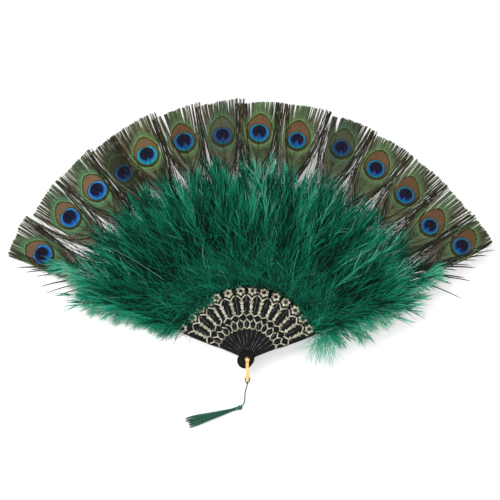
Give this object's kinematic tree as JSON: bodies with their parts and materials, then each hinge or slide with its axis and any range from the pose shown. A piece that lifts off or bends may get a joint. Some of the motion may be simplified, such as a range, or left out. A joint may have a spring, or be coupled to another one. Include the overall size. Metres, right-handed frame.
{
  "type": "feather fan",
  "caption": "Folding hand fan with peacock feathers and green marabou down on black openwork sticks, a gilt bail on the pivot pin and a corded tassel.",
  "frame": {"origin": "centre of the pivot pin's foot, on the surface that the open fan lies on", "axes": "+Z along the pivot pin, up from the surface; +Y from the pin towards the middle of the spread feathers; +X to the right as the fan's front is seen"},
  "size_m": [0.4859, 0.3317, 0.0402],
  "materials": {
    "black_plastic": "moulded black, with pale gold on its relief",
    "peacock_feather": "olive and copper barbs with a blue eye",
    "marabou_down": "dyed green down, soft",
    "gilt_metal": "polished gilt",
    "cord": "twisted cord",
    "tassel_thread": "satin threads"
  },
  "bodies": {
    "rear_guard": {"rear_guard": "black_plastic", "peacock_feather_01": "peacock_feather", "front_down_01": "marabou_down", "back_down_01": "marabou_down", "pivot_pin": "gilt_metal", "pin_ball_nut": "gilt_metal"},
    "stick_02": {"stick_02": "black_plastic", "peacock_feather_02": "peacock_feather", "front_down_02": "marabou_down"},
    "stick_03": {"stick_03": "black_plastic", "peacock_feather_03": "peacock_feather", "front_down_03": "marabou_down", "back_down_03": "marabou_down"},
    "stick_04": {"stick_04": "black_plastic", "peacock_feather_04": "peacock_feather", "front_down_04": "marabou_down"},
    "stick_05": {"stick_05": "black_plastic", "peacock_feather_05": "peacock_feather", "front_down_05": "marabou_down", "back_down_05": "marabou_down"},
    "stick_06": {"stick_06": "black_plastic", "peacock_feather_06": "peacock_feather", "front_down_06": "marabou_down"},
    "stick_07": {"stick_07": "black_plastic", "peacock_feather_07": "peacock_feather", "front_down_07": "marabou_down", "back_down_07": "marabou_down"},
    "stick_08": {"stick_08": "black_plastic", "peacock_feather_08": "peacock_feather", "front_down_08": "marabou_down"},
    "stick_09": {"stick_09": "black_plastic", "peacock_feather_09": "peacock_feather", "front_down_09": "marabou_down", "back_down_09": "marabou_down"},
    "stick_10": {"stick_10": "black_plastic", "peacock_feather_10": "peacock_feather", "front_down_10": "marabou_down"},
    "stick_11": {"stick_11": "black_plastic", "peacock_feather_11": "peacock_feather", "front_down_11": "marabou_down", "back_down_11": "marabou_down"},
    "stick_12": {"stick_12": "black_plastic", "peacock_feather_12": "peacock_feather", "front_down_12": "marabou_down"},
    "stick_13": {"stick_13": "black_plastic", "peacock_feather_13": "peacock_feather", "front_down_13": "marabou_down", "back_down_13": "marabou_down"},
    "front_guard": {"front_guard": "black_plastic", "peacock_feather_14": "peacock_feather", "front_down_14": "marabou_down"},
    "bail": {"bail": "gilt_metal"},
    "tassel": {"cord_knot": "cord", "tassel_cord": "cord", "tassel_head": "tassel_thread", "tassel_binding": "tassel_thread", "tassel_skirt": "tassel_thread"}
  },
  "joints": [
    {"name": "fan_fold", "type": "hinge", "parent": "rear_guard", "child": "front_guard", "pos_m": [0, 0, 0], "axis": [0, 0, 1], "range_deg": [0, 126.2], "deforming": ["front_down_01", "back_down_01", "front_down_14"]},
    {"name": "stick_02_fold", "type": "hinge", "parent": "rear_guard", "child": "stick_02", "pos_m": [0, 0, 0], "axis": [0, 0, 1], "range_deg": [0, 9.34], "deforming": ["front_down_02"]},
    {"name": "stick_03_fold", "type": "hinge", "parent": "rear_guard", "child": "stick_03", "pos_m": [0, 0, 0], "axis": [0, 0, 1], "range_deg": [0, 19.56], "deforming": ["front_down_03", "back_down_03"]},
    {"name": "stick_04_fold", "type": "hinge", "parent": "rear_guard", "child": "stick_04", "pos_m": [0, 0, 0], "axis": [0, 0, 1], "range_deg": [0, 28.9], "deforming": ["front_down_04"]},
    {"name": "stick_05_fold", "type": "hinge", "parent": "rear_guard", "child": "stick_05", "pos_m": [0, 0, 0], "axis": [0, 0, 1], "range_deg": [0, 35.59], "deforming": ["front_down_05", "back_down_05"]},
    {"name": "stick_06_fold", "type": "hinge", "parent": "rear_guard", "child": "stick_06", "pos_m": [0, 0, 0], "axis": [0, 0, 1], "range_deg": [0, 45.94], "deforming": ["front_down_06"]},
    {"name": "stick_07_fold", "type": "hinge", "parent": "rear_guard", "child": "stick_07", "pos_m": [0, 0, 0], "axis": [0, 0, 1], "range_deg": [0, 56.66], "deforming": ["front_down_07", "back_down_07"]},
    {"name": "stick_08_fold", "type": "hinge", "parent": "rear_guard", "child": "stick_08", "pos_m": [0, 0, 0], "axis": [0, 0, 1], "range_deg": [0, 66.51], "deforming": ["front_down_08"]},
    {"name": "stick_09_fold", "type": "hinge", "parent": "rear_guard", "child": "stick_09", "pos_m": [0, 0, 0], "axis": [0, 0, 1], "range_deg": [0, 76.6], "deforming": ["front_down_09", "back_down_09"]},
    {"name": "stick_10_fold", "type": "hinge", "parent": "rear_guard", "child": "stick_10", "pos_m": [0, 0, 0], "axis": [0, 0, 1], "range_deg": [0, 86.95], "deforming": ["front_down_10"]},
    {"name": "stick_11_fold", "type": "hinge", "parent": "rear_guard", "child": "stick_11", "pos_m": [0, 0, 0], "axis": [0, 0, 1], "range_deg": [0, 96.17], "deforming": ["front_down_11", "back_down_11"]},
    {"name": "stick_12_fold", "type": "hinge", "parent": "rear_guard", "child": "stick_12", "pos_m": [0, 0, 0], "axis": [0, 0, 1], "range_deg": [0, 106.64], "deforming": ["front_down_12"]},
    {"name": "stick_13_fold", "type": "hinge", "parent": "rear_guard", "child": "stick_13", "pos_m": [0, 0, 0], "axis": [0, 0, 1], "range_deg": [0, 116.23], "deforming": ["front_down_13", "back_down_13"]},
    {"name": "bail_swing", "type": "hinge", "parent": "rear_guard", "child": "bail", "pos_m": [0, 0, 0], "axis": [0, 0, 1], "range_deg": [-30, 45]},
    {"name": "tassel_swing", "type": "hinge", "parent": "bail", "child": "tassel", "pos_m": [0, -0.0206, 0], "axis": [0, 0, 1], "range_deg": [-20, 40]}
  ],
  "couplings": [
    {"joint": "stick_02_fold", "follows": "fan_fold", "ratio": 0.074},
    {"joint": "stick_03_fold", "follows": "fan_fold", "ratio": 0.155},
    {"joint": "stick_04_fold", "follows": "fan_fold", "ratio": 0.229},
    {"joint": "stick_05_fold", "follows": "fan_fold", "ratio": 0.282},
    {"joint": "stick_06_fold", "follows": "fan_fold", "ratio": 0.364},
    {"joint": "stick_07_fold", "follows": "fan_fold", "ratio": 0.449},
    {"joint": "stick_08_fold", "follows": "fan_fold", "ratio": 0.527},
    {"joint": "stick_09_fold", "follows": "fan_fold", "ratio": 0.607},
    {"joint": "stick_10_fold", "follows": "fan_fold", "ratio": 0.689},
    {"joint": "stick_11_fold", "follows": "fan_fold", "ratio": 0.762},
    {"joint": "stick_12_fold", "follows": "fan_fold", "ratio": 0.845},
    {"joint": "stick_13_fold", "follows": "fan_fold", "ratio": 0.921}
  ]
}
